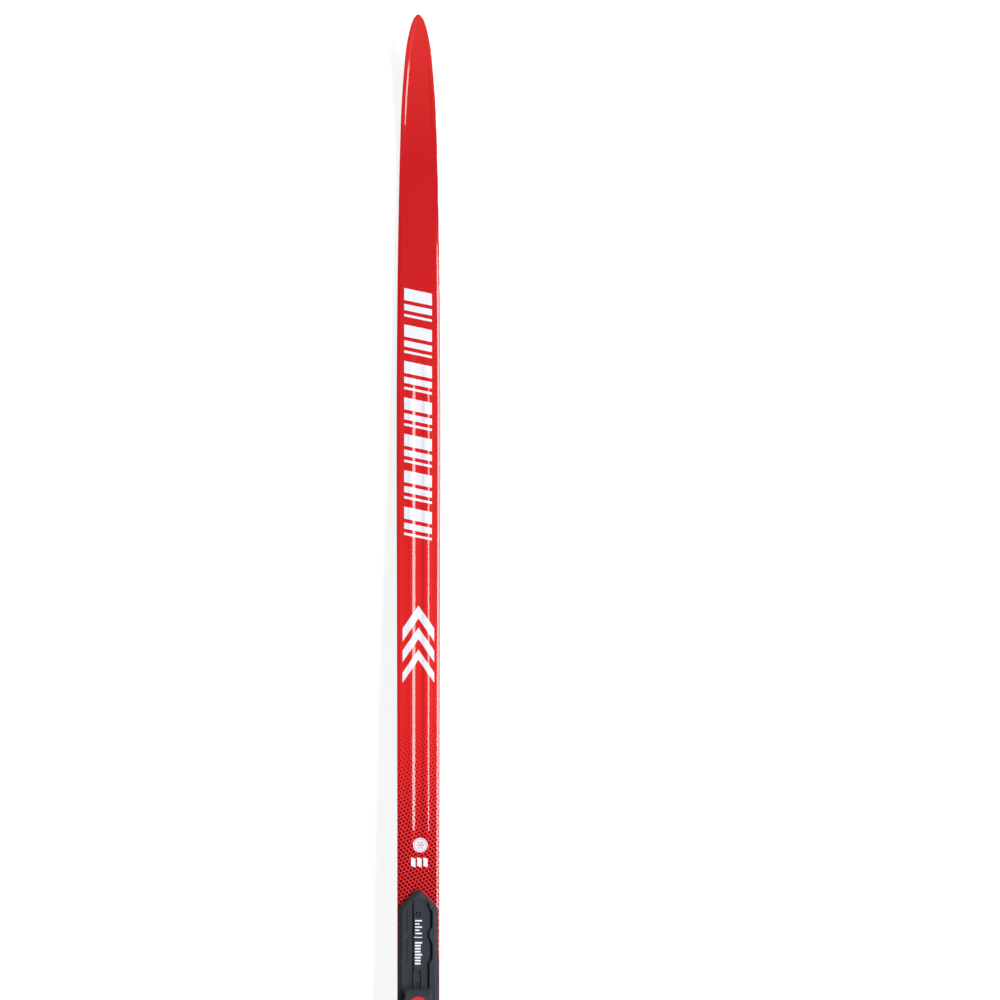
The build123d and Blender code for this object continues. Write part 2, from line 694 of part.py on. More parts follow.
def jaw():
    """Steel slider plate with a hook that closes over the bar."""
    stub_y = FINGER_Y1 + FINGER_GAP
    body = box(-7.5, 7.5, 2.7, 32.6, JAW_Z0, JAW_Z1)
    body = body - box(-4.6, 4.6, 22.2, stub_y, JAW_Z0 - OVERRUN, JAW_Z1 + OVERRUN)
    profile = [(2.7, JAW_Z0), (2.7, 41.0), (0.5, 41.0), (0.5, 43.1), (-1.4, 43.1), (-1.4, 44.1),
               (-0.2, 45.3), (4.6, 45.3), (6.2, 43.8), (6.2, JAW_Z0)]
    hook = prism_x(profile, -HOOK_HALF_W, HOOK_HALF_W)
    hook = tidy(hook, side_edges(hook, HOOK_HALF_W, 43.5), 0.8)
    hook = hook - cyl_x(0, BAR_Z, BAR_R, -9, 9)
    body = body + hook
    # stub ahead of the crank finger, and the post for the spring
    body = body + box(-4.2, 4.2, stub_y, 30.6, JAW_Z1 - OVERLAP, 38.6)
    return body + rod(SPRING_POST_R, 1.3, Location((0, 32.5, SPRING_Z), (-90, 0, 0)))


def jaw_spring():
    """Return spring between the slider's front edge and the chamber wall."""
    place = Location((0, 33.0, SPRING_Z), (-90, 0, 0))
    return coil(radius=1.4, wire_r=0.3, length=8.55, turns=5, place=place)


def flexor():
    """Rubber flexor with a tunnel the hook slides into."""
    z0 = TOE_DECK + 0.05
    profile = [(7.6, z0), (7.0, 40.0), (7.4, 46.5), (9.4, 50.4), (13.0, 51.6), (17.5, 50.6),
               (20.2, 47.2), (20.6, 42.0), (20.6, z0)]
    flex = prism_x(profile, -FLEXOR_HALF_W, FLEXOR_HALF_W)
    flex = flex - box(-8.1, 8.1, 6.0, 17.0, TOE_DECK - OVERRUN, 46.2)
    flex = flex - box(-8.1, 8.1, 16.0, 21.5, TOE_DECK - OVERRUN, 38.6)
    for side in SIDES:
        flex = flex + box(*span(side, *FOOT_X), FOOT_Y0, FOOT_Y1, FOOT_Z0, TOE_DECK + 0.3)
    return tidy(flex, side_edges(flex, FLEXOR_HALF_W, 44), 1.6)


def toe_lever():
    """Lever with its bosses, finger lip and the crank finger that pulls the jaw open."""
    profile = [
        (24.4, 46.3), (32.0, 46.9), (41.0, 46.4), (50.0, 44.9), (56.0, 42.2), (58.6, 39.0),
        (57.4, 38.0), (54.6, 40.2), (50.0, 41.6), (43.0, 42.3), (33.0, 42.3), (29.0, 41.0),
    ]
    lever = prism_x(profile, -LEVER_HALF_W, LEVER_HALF_W)
    lever = tidy(lever, side_edges(lever, LEVER_HALF_W, 43.0), 1.2)
    for side in (1, -1):
        lever = lever + cyl_x(LEVER_Y, LEVER_Z, 4.3, *span(side, 4.6, LEVER_HALF_W))
    lever = lever + cyl_x(LEVER_Y, LEVER_Z, 3.2, -5.0, 5.0)
    # web between the pivot and the lever arm
    lever = lever + prism_x([(24.4, 42.0), (29.0, 42.0), (29.0, 46.4), (24.4, 46.3)], -5.0, 5.0)
    finger = [(FINGER_Y0, 41.0), (FINGER_Y1, 41.0), (FINGER_Y1, 34.9), (26.9, 34.25),
              (25.1, 34.25), (FINGER_Y0, 34.9)]
    lever = lever + prism_x(finger, -4.0, 4.0)
    lever = lever - cyl_x(LEVER_Y, LEVER_Z, PIN_R + 0.06, -15, 15)
    # recess for the grip inlay
    side_view = [(33.0, 46.1), (41.0, 45.5), (52.0, 43.6), (52.0, 52.0), (33.0, 52.0)]
    plan = [(-8.0, 34.0), (8.0, 34.0), (6.4, 49.0), (0.0, 51.2), (-6.4, 49.0)]
    return lever - (prism_x(side_view, -20, 20) & prism_z(plan, 40.0, 52.0))


def lever_inlay():
    side_view = [(33.0, 46.15), (41.0, 45.55), (52.0, 43.65), (52.0, 44.75), (50.0, 45.2),
                 (41.0, 46.7), (33.0, 47.25)]
    plan = [(-7.85, 34.15), (7.85, 34.15), (6.3, 48.9), (0.0, 51.0), (-6.3, 48.9)]
    return prism_x(side_view, -20, 20) & prism_z(plan, 40.0, 52.0)


def lever_pin():
    return cyl_x(LEVER_Y, LEVER_Z, PIN_R - 0.02, -17.7, 17.7)


def position_latch():
    """Toothed block that lifts out of the rack."""
    z0 = 27.7 + LATCH_LIFT
    latch = box(-5.2, 5.2, 44.5, 51.5, 31.0, 36.4)
    latch = latch + box(-2.4, 2.4, 44.8, 51.2, z0, 31.2)
    latch = latch + box(-5.2, 5.2, 51.4, 53.8, 33.4, 36.4)
    for k in range(3):
        y = 46.0 + RACK_PITCH * k
        notch = [(y - 0.8, z0 - 0.2), (y + 0.8, z0 - 0.2), (y + 0.5, z0 + 1.0), (y - 0.5, z0 + 1.0)]
        latch = latch - prism_x(notch, -3, 3)
    return latch - cyl_z(0, 48.0, 2.0, 32.4, 37.0)


def latch_spring():
    return coil(radius=1.45, wire_r=0.22, length=6.0, turns=5, place=Location((0, 48.0, 32.7)))


# ================================================================ heel piece
def heel_base():
    sunk = HEEL_DECK - OVERLAP
    half = [(16.4, HEEL_Y1), (BINDING_HALF_W, HEEL_Y1 - 4),
            (BINDING_HALF_W, HEEL_Y0 + 4), (16.4, HEEL_Y0)]
    heel = prism_z(mirrored(half), BINDING_Z0, HEEL_DECK)
    heel = tidy(heel, edges_at(heel, HEEL_DECK), 0.9)
    heel = add_runners(heel, HEEL_Y0 + 3, HEEL_Y1 - 3)
    ridge_profile = [(HEEL_Y1 - 3, sunk), (HEEL_Y1 - 8, 41.0), (HEEL_Y0 + 14, 41.0),
                     (HEEL_Y0 + 8, sunk)]
    for side in SIDES:
        ridge = prism_x(ridge_profile, *span(side, *RIDGE_X))
        crest = [e for e in ridge.edges()
                 if e.center().Z > 37.0 and abs(e.tangent_at(0.5).Y) > 0.4]
        heel = heel + tidy(ridge, crest, 1.2)
    # well for the latch tab at the rear, and the bore for its pin
    heel = heel - box(-6.4, 6.4, HEEL_Y0 - OVERRUN, HEEL_Y0 + 20.0,
                      BINDING_Z0 - OVERRUN, HEEL_DECK + OVERRUN)
    return heel - cyl_x(TAB_Y, TAB_Z, TAB_BORE_R, -10.0, 10.0)


def heel_pads():
    """One pad between the ridges and one outside each of them."""
    z0, z1 = HEEL_DECK + 0.02, 37.0
    pads = [box(-7.4, 7.4, HEEL_Y0 + 21.5, HEEL_Y1 - 3.5, z0, z1)]
    for side in (1, -1):
        pads.append(box(*span(side, 14.9, 19.2), HEEL_Y0 + 5.5, HEEL_Y1 - 5.5, z0, z1))
    return pads


def heel_latch():
    """Toothed tab, drawn swung up about its pin so that the teeth are clear of the rack."""
    profile = [
        (HEEL_Y0 + 18.2, 32.2), (HEEL_Y0 + 18.2, 34.4), (HEEL_Y0 + 16.5, 35.2),
        (HEEL_Y0 + 2.0, 35.2), (HEEL_Y0 - 2.6, 34.0), (HEEL_Y0 - 2.6, 32.9),
        (HEEL_Y0 + 2.0, 32.4),
    ]
    tab = prism_x(profile, -6.1, 6.1)
    teeth = box(-2.4, 2.4, HEEL_Y0 + 3.2, HEEL_Y0 + 9.25, 27.8, 32.6)
    for k in range(3):
        y = HEEL_Y0 + 4.0 + RACK_PITCH * k
        # one flank leans further, because the tab swings the teeth forwards as it goes down
        notch = [(y - 0.70, 27.6), (y + 1.0, 27.6), (y + 0.62, 28.85), (y - 0.48, 28.85)]
        teeth = teeth - prism_x(notch, -3, 3)
    tab = tab + teeth
    tab = tab - cyl_x(TAB_Y, TAB_Z, TAB_BORE_R, -10.0, 10.0)
    tab = tab.moved(Location((0, -TAB_Y, -TAB_Z)))
    tab = tab.moved(Location((0, 0, 0), (-HEEL_TAB_LIFT, 0, 0)))
    return tab.moved(Location((0, TAB_Y, TAB_Z)))


def heel_latch_pin():
    return cyl_x(TAB_Y, TAB_Z, TAB_BORE_R - 0.06, -9.6, 9.6)


# ================================================================ output
os.makedirs("parts", exist_ok=True)

core_foam, core_stringers = core_parts()
write("topsheet", topsheet())
write("upper_laminate", upper_laminate())
write("core_foam", core_foam)
write("core_stringers", *core_stringers)
write("sidewall_right", sidewall(1))
write("sidewall_left", sidewall(-1))
write("lower_laminate", lower_laminate())
write("tip_spacer", spacer(CORE_Y1 + GAP, TIP_Y + 5))
write("tail_spacer", spacer(TAIL_CAP_Y + GAP, CORE_Y0 - GAP))
write("glide_base", glide_base())
write("skin_backing", skin_layer(BACKING_LOW, SKIN_POCKET_D - GAP))
write("skin_pile", skin_layer(0.0, PILE_T))
write("heel_pads", *heel_pads())

# the remaining pieces are each written under the name of the function that builds them
for build in (tail_protector, plate_bond_film, binding_plate, toe_base, bar_seat, jaw,
              jaw_spring, flexor, toe_lever, lever_inlay, lever_pin, position_latch,
              latch_spring, heel_base, heel_latch, heel_latch_pin):
    write(build.__name__, build())
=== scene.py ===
"""Cross country ski with its binding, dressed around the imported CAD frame.

The ski lies along Y with its tip at +Y; +X is right and +Z is up. The flat middle of its
running surface is at z = 0. Shapes are worked out in mm and built in metres. "back" is the
distance in mm from the tip towards the tail.
"""
import math

import bmesh
import bpy
import numpy as np
from mathutils import Matrix, Vector


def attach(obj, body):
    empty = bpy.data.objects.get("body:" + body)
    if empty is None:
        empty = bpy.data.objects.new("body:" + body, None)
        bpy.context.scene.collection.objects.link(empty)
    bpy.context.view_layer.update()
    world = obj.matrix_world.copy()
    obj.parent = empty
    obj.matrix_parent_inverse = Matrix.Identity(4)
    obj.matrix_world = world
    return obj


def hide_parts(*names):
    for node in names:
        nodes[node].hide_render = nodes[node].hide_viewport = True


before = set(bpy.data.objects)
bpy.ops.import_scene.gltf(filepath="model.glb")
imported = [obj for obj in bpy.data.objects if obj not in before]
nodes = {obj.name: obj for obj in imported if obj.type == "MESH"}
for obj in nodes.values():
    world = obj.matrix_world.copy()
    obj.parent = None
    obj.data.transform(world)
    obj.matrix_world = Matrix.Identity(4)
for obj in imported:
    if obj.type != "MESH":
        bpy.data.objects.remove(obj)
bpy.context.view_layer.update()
rng = np.random.default_rng(11)
MM = 0.001

# ---------------------------------------------------------------- driving dimensions, mm
LENGTH = 2020.0
TIP_Y = 1075.0
TAIL_Y = TIP_Y - LENGTH
FLAT_FRONT_Y, FLAT_REAR_Y = 178.0, -280.0
CAMBER, CONTACT_FRONT_Y, CONTACT_REAR_Y = 28.0, 880.0, -850.0
TIP_RISE, TAIL_RISE = 50.0, 11.0
BASE_THICK, LOWER_LAM_THICK, GAP = 1.5, 0.6, 0.05
CORE_LOW = BASE_THICK + LOWER_LAM_THICK + 2 * GAP
TIP_THICK = 5.2
SKIRT_SHARE = 0.34  # how fast the cap's lower edge rises with thickness
TAIL_CAP_Y = TAIL_Y + 14.0
CAP_END = TIP_Y - (TAIL_CAP_Y + GAP)

# The skin and its pocket in the base
SKIN_FRONT_Y, SKIN_REAR_Y = 292.0, -120.0
SKIN_HALF, SKIN_CLIP = 16.0, 10.0

# Outline: distance back from the tip, half width
HALF_WIDTH = np.array([
    (1.6, 2.9), (3.7, 4.5), (5.7, 5.65), (9.9, 7.3), (14.1, 8.6), (18.3, 9.65), (22.5, 10.6),
    (26.6, 11.45), (32.9, 12.5), (39.2, 13.35), (49.1, 14.35), (59.6, 15.3), (70.0, 16.15),
    (80.5, 16.9), (90.9, 17.55), (111.8, 18.55), (132.7, 19.2), (153.6, 19.8), (174.5, 20.3),
    (195.4, 20.7), (226.8, 21.3), (258.0, 21.8), (300.0, 22.25), (352.0, 22.7), (415.0, 22.95),
    (480.0, 22.95), (560.0, 22.75), (640.0, 22.5), (760.0, 22.2), (885.0, 22.0), (1010.0, 22.0),
    (1200.0, 22.0), (1400.0, 22.1), (1550.0, 22.35), (1700.0, 22.5), (1820.0, 22.5),
    (1900.0, 22.35), (1960.0, 22.0), (2010.0, 21.4), (2020.0, 21.25)])
# Side profile: distance back from the tip, thickness
THICKNESS = np.array([
    (-30, 5.2), (0, 5.2), (60, 5.25), (130, 5.6), (200, 6.5), (300, 8.6), (450, 12.6),
    (600, 17.0), (750, 21.3), (840, 23.8), (897, 25.0), (1355, 25.0), (1440, 23.8),
    (1600, 19.2), (1750, 14.0), (1880, 9.9), (1960, 8.0), (2020, 7.2), (2060, 7.0)], float)


# ---------------------------------------------------------------- curves of the ski
def monotone_cubic(table, x):
    """Monotone cubic through the (x, y) rows of a table, held level past its ends."""
    px, py = table[:, 0], table[:, 1]
    x = np.asarray(x, float)
    width = np.diff(px)
    slope = np.diff(py) / width
    tangent = np.zeros_like(px)
    tangent[0], tangent[-1] = slope[0], slope[-1]
    before, after = slope[:-1], slope[1:]
    same = before * after > 0
    tangent[1:-1][same] = 2 * before[same] * after[same] / (before[same] + after[same])
    x = np.clip(x, px[0], px[-1])
    i = np.clip(np.searchsorted(px, x, side="right") - 1, 0, len(px) - 2)
    t = (x - px[i]) / width[i]
    return ((2 * t**3 - 3 * t**2 + 1) * py[i]
            + (t**3 - 2 * t**2 + t) * width[i] * tangent[i]
            + (-2 * t**3 + 3 * t**2) * py[i + 1]
            + (t**3 - t**2) * width[i] * tangent[i + 1])


def fade(value, start, end):
    """0 at start to 1 at end, eased at both ends; start may be the larger."""
    t = np.clip((value - start) / (end - start), 0.0, 1.0)
    return t * t * (3 - 2 * t)


def ramp(value, start, end):
    """0 to 1 at an even slope between start and end, with soft ends."""
    soft, low, high = 0.10, -3.0, 4.0

    def soft_line(t):
        return 0.5 * (np.sqrt(t * t + soft * soft) - np.sqrt((t - 1) ** 2 + soft * soft) + 1)

    t = np.clip((value - start) / (end - start), low, high)
    at_low, at_high = soft_line(np.float64(low)), soft_line(np.float64(high))
    return np.clip((soft_line(t) - at_low) / (at_high - at_low), 0, 1)


def half_width(back):
    back = np.asarray(back, float)
    first_back, first_half = HALF_WIDTH[0]
    nose = first_half * np.sqrt(np.clip(back, 0, None) / first_back)
    return np.where(back < first_back, nose, monotone_cubic(HALF_WIDTH, back))


def base_curve(y):
    """Height of the running surface: level middle, camber, then rising tip and tail."""
    y = np.asarray(y, float)
    front = -CAMBER * fade(y, FLAT_FRONT_Y, CONTACT_FRONT_Y)
    past_front = np.clip((y - CONTACT_FRONT_Y) / (TIP_Y - CONTACT_FRONT_Y), 0, None)
    front = front + TIP_RISE * past_front**2.1
    rear = -CAMBER * fade(y, FLAT_REAR_Y, CONTACT_REAR_Y)
    past_rear = np.clip((CONTACT_REAR_Y - y) / (CONTACT_REAR_Y - TAIL_Y), 0, None)
    rear = rear + TAIL_RISE * past_rear**2.0
    return np.where(y > FLAT_FRONT_Y, front, np.where(y < FLAT_REAR_Y, rear, 0.0))


def thickness(back):
    return monotone_cubic(THICKNESS, back)


def skirt_bottom(back):
    """Height of the cap's lower edge above the running surface."""
    return CORE_LOW + SKIRT_SHARE * np.clip(thickness(back) - TIP_THICK, 0, None)


CURVE_Y = np.linspace(TAIL_Y - 25, TIP_Y + 30, 4200)
CURVE_SLOPE = base_curve(CURVE_Y + 0.5) - base_curve(CURVE_Y - 0.5)
CURVE_NORM = np.hypot(1.0, CURVE_SLOPE)


def height_fn(depth_at):
    """z(y) of the curve lying depth_at(back) above the running surface, square to it."""
    depth = depth_at(TIP_Y - CURVE_Y)
    y_off = CURVE_Y - CURVE_SLOPE / CURVE_NORM * depth
    z_off = base_curve(CURVE_Y) + depth / CURVE_NORM
    order = np.argsort(y_off)
    return lambda y: np.interp(y, y_off[order], z_off[order])


def level_fn(depth):
    return height_fn(lambda back: np.full_like(back, depth))


z_top = height_fn(thickness)
z_skirt = height_fn(skirt_bottom)
z_base = level_fn(0.0)
z_base_top = level_fn(BASE_THICK)
z_laminate_low = level_fn(BASE_THICK + GAP)
z_laminate_high = level_fn(BASE_THICK + GAP + LOWER_LAM_THICK)
z_core = level_fn(CORE_LOW)

OUTLINE_BACK = np.concatenate([
    np.linspace(0, 6, 120), np.linspace(6, 60, 160)[1:], np.linspace(60, 360, 160)[1:]])
OUTLINE_HALF = half_width(OUTLINE_BACK)


def edge_distance(x, back):
    """Plan distance to the outline: nearest outline point near the tip, from the side after."""
    near_tip, batch = 300, 4000
    x, back = np.abs(x), np.asarray(back, float)
    slope = (half_width(back + 1.0) - half_width(np.clip(back - 1.0, 0, None))) / 2.0
    dist = (half_width(back) - x) / np.hypot(1.0, slope)
    near = back < near_tip
    near_x, near_back = x[near], back[near]
    nearest = np.empty(len(near_x))
    for k in range(0, len(near_x), batch):
        part_x = near_x[k:k + batch, None]
        part_back = near_back[k:k + batch, None]
        squares = (part_x - OUTLINE_HALF) ** 2 + (part_back - OUTLINE_BACK) ** 2
        nearest[k:k + batch] = np.sqrt(squares.min(1))
    dist[near] = nearest
    return np.clip(dist, 0, None)


def relief(x, back):
    """How far the cap lies under the plain top surface, in mm."""
    x, back = np.asarray(x, float), np.asarray(back, float)
    off_axis = np.abs(x)
    dist = edge_distance(x, back)
    tip = fade(back, 300.0, 180.0)
    # edge: a narrow facet that fades out towards the tip, then a rounded corner
    facet = 0.60 * fade(dist, 3.2, 1.1) * (1.0 - tip)
    corner_width = 1.3 - 0.65 * tip
    across = np.clip((corner_width - dist) / corner_width, 0, 1)
    corner_drop = 1.35 - 0.75 * tip
    corner = corner_drop * (1 - np.sqrt(np.clip(1 - across * across, 0, 1)))
    # lengthwise ribs: a central valley between two humps, shoulders lower outside them
    ahead = fade(back, 322.0, 417.0) * fade(back, 893.0, 833.0)
    behind = fade(back, 1372.0, 1432.0) * fade(back, 1840.0, 1690.0)
    valley = 0.88 * (1 - ramp(off_axis, 3.1, 6.5))
    shoulder = 0.47 * ramp(off_axis, 9.7, 11.5) + 0.20 * ramp(off_axis, 12.9, 14.5)
    # tip: raised rim around a shallow field
    field = fade(back, 9.0, 25.0) * fade(back, 150.0, 80.0)
    return (facet + corner + np.maximum(ahead, behind) * (valley + shoulder)
            + 0.55 * field * fade(dist, 3.7, 5.6))


# ---------------------------------------------------------------- mesh helpers
def link_object(name, mesh):
    ob = bpy.data.objects.new(name, mesh)
    bpy.context.scene.collection.objects.link(ob)
    return ob


def make_mesh(name, verts, faces, mat, smooth_shade=True):
    mesh = bpy.data.meshes.new(name)
    mesh.from_pydata([tuple(v) for v in verts], [], faces)
    mesh.validate(clean_customdata=False)
    ob = link_object(name, mesh)
    mesh.materials.append(mat)
    if smooth_shade:
        mesh.polygons.foreach_set("use_smooth", [True] * len(mesh.polygons))
    mesh.update()
    bm = bmesh.new()
    bm.from_mesh(mesh)
    bmesh.ops.recalc_face_normals(bm, faces=bm.faces)
    bm.to_mesh(mesh)
    bm.free()
    return ob


def assign(ob, node=None):
    """Make an object ride the ski, in place of a CAD node if one is named."""
    if node:
        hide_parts(node)
    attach(ob, "ski")


def points(x, y, z):
    """Grids of x, y and z in mm as rows of points in metres."""
    return np.stack([x, y, z], 2).reshape(-1, 3) * MM


def grid_faces(rows, cols):
    i = (np.arange(rows - 1)[:, None] * cols + np.arange(cols - 1)[None, :]).ravel()
    return np.stack([i, i + 1, i + 1 + cols, i + cols], 1).tolist()


def stations(first, runs, last):
    """Listed values, then (start, stop, step) runs, then listed values."""
    return np.concatenate([first] + [np.arange(*run) for run in runs] + [last])


def mirrored(half):
    """Values from 0 outwards, repeated on the negative side."""
    return np.concatenate([-half[:0:-1], half])


# ---------------------------------------------------------------- materials
def srgb(colour):
    """sRGB 0-255 to linear RGBA."""
    out = []
    for v in colour:
        v = v / 255.0
        out.append(v / 12.92 if v <= 0.04045 else ((v + 0.055) / 1.055) ** 2.4)
    return (*out, 1.0)


def material(name, rgb, rough=0.5, spec=0.5, metal=0.0, coat=0.0, coat_rough=0.1, sheen=0.0):
    """Principled material; rgb is sRGB 0-255, or linear when no value is above 1.5."""
    mat = bpy.data.materials.new(name)
    mat.use_nodes = True
    inputs = mat.node_tree.nodes["Principled BSDF"].inputs
    inputs["Base Color"].default_value = srgb(rgb) if max(rgb) > 1.5 else (*rgb, 1.0)
    inputs["Roughness"].default_value = rough
    inputs["Specular IOR Level"].default_value = spec
    inputs["Metallic"].default_value = metal
    inputs["Coat Weight"].default_value = coat
    inputs["Coat Roughness"].default_value = coat_rough
    inputs["Sheen Weight"].default_value = sheen
    return mat


def add_noise(key, scale, strength, distance, colour=0.0, stretch=(1, 1, 1), rough_var=0.0,
              detail=4.0):
    """Fine grain: bump, and optionally a little colour and roughness variation."""
    tree = MATS[key].node_tree
    new, link = tree.nodes.new, tree.links.new
    inputs = tree.nodes["Principled BSDF"].inputs
    coords = new("ShaderNodeTexCoord")
    mapping = new("ShaderNodeMapping")
    mapping.inputs["Scale"].default_value = stretch
    noise = new("ShaderNodeTexNoise")
    noise.inputs["Scale"].default_value = scale
    noise.inputs["Detail"].default_value = detail
    link(coords.outputs["Object"], mapping.inputs["Vector"])
    link(mapping.outputs["Vector"], noise.inputs["Vector"])
    bump = new("ShaderNodeBump")
    bump.inputs["Strength"].default_value = strength
    bump.inputs["Distance"].default_value = distance
    link(noise.outputs["Fac"], bump.inputs["Height"])
    link(bump.outputs["Normal"], inputs["Normal"])
    if colour:
        base = tuple(inputs["Base Color"].default_value)[:3]
        tint = new("ShaderNodeValToRGB")
        low, high = tint.color_ramp.elements
        low.position, high.position = 0.35, 0.65
        low.color = tuple(c * (1 - colour) for c in base) + (1,)
        high.color = tuple(min(1, c * (1 + colour)) for c in base) + (1,)
        link(noise.outputs["Fac"], tint.inputs["Fac"])
        link(tint.outputs["Color"], inputs["Base Color"])
    if rough_var:
        rough_range = new("ShaderNodeMapRange")
        rough = inputs["Roughness"].default_value
        rough_range.inputs["To Min"].default_value = rough - rough_var
        rough_range.inputs["To Max"].default_value = rough + rough_var
        link(noise.outputs["Fac"], rough_range.inputs["Value"])
        link(rough_range.outputs["Result"], inputs["Roughness"])


# Red along the cap, tail to tip: y in mm, sRGB colour
CAP_REDS = [
    (-945, (206, 30, 32)), (-300, (212, 30, 34)), (170, (212, 36, 44)), (320, (216, 30, 30)),
    (470, (213, 29, 29)), (700, (205, 24, 26)), (800, (195, 18, 23)), (925, (190, 14, 21)),
    (985, (199, 26, 26)), (1030, (207, 33, 33)), (1075, (212, 36, 36))]


def cap_material():
    """Gloss red cap whose red shifts slowly along the ski."""
    mat = material("cap_red", (205, 30, 34), rough=0.4, spec=0.14, coat=1.0, coat_rough=0.05)
    tree = mat.node_tree
    new, link = tree.nodes.new, tree.links.new
    shader = tree.nodes["Principled BSDF"]
    shader.inputs["Coat IOR"].default_value = 1.62
    coords = new("ShaderNodeTexCoord")
    split = new("ShaderNodeSeparateXYZ")
    link(coords.outputs["Object"], split.inputs["Vector"])
    along = new("ShaderNodeMapRange")
    along.inputs["From Min"].default_value = TAIL_Y * MM
    along.inputs["From Max"].default_value = TIP_Y * MM
    link(split.outputs["Y"], along.inputs["Value"])
    reds = new("ShaderNodeValToRGB")
    reds.color_ramp.interpolation = "LINEAR"
    elements = reds.color_ramp.elements
    elements.remove(elements[-1])
    elements[0].position = 0.0
    elements[0].color = srgb(CAP_REDS[0][1])
    for y, colour in CAP_REDS[1:]:
        elements.new((y - TAIL_Y) / LENGTH).color = srgb(colour)
    link(along.outputs["Result"], reds.inputs["Fac"])
    link(reds.outputs["Color"], shader.inputs["Base Color"])
    return mat


MATS = {
    "cap": cap_material(),
    "dot": material("dot_maroon", (84, 0, 2), rough=0.6, spec=0.0, coat=0.6, coat_rough=0.05),
    "white": material("print_white", (226, 229, 240), rough=0.3, spec=0.3, coat=0.6,
                      coat_rough=0.08),
    # near-black colour painted as the shade in the plate's round gate recess
    "gate": material("gate_dark", (14, 14, 18), rough=0.7, spec=0.1),
    "red": material("print_red", (190, 30, 36), rough=0.34, spec=0.35, coat=0.6,
                    coat_rough=0.08),
    "sidewall": material("sidewall_black", (24, 24, 26), rough=0.42),
    "laminate": material("laminate_grey", (58, 58, 60), rough=0.5),
    "base": material("base_black", (26, 26, 28), rough=0.38, spec=0.5),
    "skin": material("mohair", (150, 141, 130), rough=0.95, spec=0.1, sheen=0.6),
    "skin_back": material("skin_backing_grey", (60, 60, 60), rough=0.8),
    "wood": material("wood", (200, 160, 110), rough=0.6),
    "foam": material("foam", (225, 220, 200), rough=0.8),
    "film": material("film", (150, 150, 150), rough=0.6),
    "tail": material("tail_black", (28, 28, 30), rough=0.42),
    "plate": material("plate_plastic", (43, 45, 54), rough=0.62, spec=0.26),
    "body": material("binding_plastic", (38, 40, 46), rough=0.42, spec=0.45),
    "lever": material("lever_plastic", (46, 49, 57), rough=0.36, spec=0.5),
    "inlay": material("inlay_red", (196, 28, 32), rough=0.6, spec=0.35),
    "latch": material("latch_grey", (176, 178, 184), rough=0.45),
    "steel": material("steel", (0.60, 0.60, 0.61), rough=0.27, metal=1.0),
    "spring": material("spring_steel", (0.52, 0.52, 0.53), rough=0.3, metal=1.0),
    "rubber": material("flexor_rubber", (30, 30, 31), rough=0.72, spec=0.3),
    "pad": material("pad_rubber", (34, 34, 36), rough=0.8, spec=0.25),
}
add_noise("plate", scale=2600, strength=0.16, distance=0.00006, colour=0.10)
add_noise("body", scale=2600, strength=0.16, distance=0.00006, colour=0.08)
add_noise("lever", scale=2400, strength=0.10, distance=0.00005)
add_noise("rubber", scale=3000, strength=0.25, distance=0.00008)
add_noise("pad", scale=3000, strength=0.25, distance=0.00008)
add_noise("steel", scale=900, strength=0.05, distance=0.00003, stretch=(1, 12, 1),
          rough_var=0.07)
add_noise("skin", scale=700, strength=0.9, distance=0.00035, colour=0.16, stretch=(6, 1, 1),
          detail=8)
add_noise("base", scale=900, strength=0.12, distance=0.00004, stretch=(8, 0.2, 1),
          rough_var=0.06)
add_noise("wood", scale=60, strength=0.1, distance=0.0001, colour=0.12, stretch=(8, 0.4, 8))
add_noise("sidewall", scale=1500, strength=0.1, distance=0.00004)

# ---------------------------------------------------------------- the cap
# Columns on a half width of 22 mm, closest together at the edge
CAP_COLUMNS = mirrored(stations(
    [], [(0, 14.5, 0.38), (14.5, 18.4, 0.6), (18.4, 21.9, 0.17)], [21.93, 21.99, 22.0]) / 22.0)
# Rows by distance back from the tip
CAP_ROWS = stations(
    [0.03, 0.12, 0.3, 0.55, 0.9, 1.3],
    [(1.8, 8, 0.5), (8, 30, 0.9), (30, 160, 1.8), (160, 320, 4.0), (320, 420, 3.0),
     (420, 835, 7.0), (835, 900, 2.6), (900, 1370, 12.0), (1370, 1440, 4.0),
     (1440, 1680, 9.0), (1680, CAP_END - 1, 6.0)],
    [CAP_END])
SKIRT_DROPS = np.array([0.22, 0.5, 0.78, 0.97, 1.0])  # shares of the skirt's height
SKIRT_TUCK, LIP_WIDTH = 0.12, 0.8


def build_cap():
    back, across = np.meshgrid(CAP_ROWS, CAP_COLUMNS, indexing="ij")
    half = half_width(back)
    x = across * half
    y = TIP_Y - back
    drop = relief(x.ravel(), back.ravel()).reshape(x.shape)
    plain, skirt = z_top(y), z_skirt(y)
    z = plain - np.minimum(drop, np.maximum(0.35, plain - skirt - 0.5))
    # skirt: points going down each side, then turning in
    edge_x, edge_z, low_z = half[:, -1:], z[:, -1:], skirt[:, -1:]
    side_x = np.repeat(edge_x, len(SKIRT_DROPS), 1)
    side_x[:, -1:] -= SKIRT_TUCK
    side_z = edge_z + (low_z - edge_z) * SKIRT_DROPS
    side_x = np.concatenate([side_x, np.maximum(edge_x - LIP_WIDTH, 0.0)], 1)
    side_z = np.concatenate([side_z, low_z], 1)
    side_y = np.repeat(y[:, :1], side_x.shape[1], 1)
    full_x = np.concatenate([-side_x[:, ::-1], x, side_x], 1)
    full_y = np.concatenate([side_y, y, side_y], 1)
    full_z = np.concatenate([side_z[:, ::-1], z, side_z], 1)
    rows, cols = full_x.shape
    faces = grid_faces(rows, cols)
    # close the narrow front: join the first row's left and right halves
    for j in range(cols // 2 - 1):
        faces.append([j, j + 1, cols - 2 - j, cols - 1 - j])
    cap = make_mesh("ski_cap", points(full_x, full_y, full_z), faces, MATS["cap"])
    assign(cap, "topsheet")


build_cap()


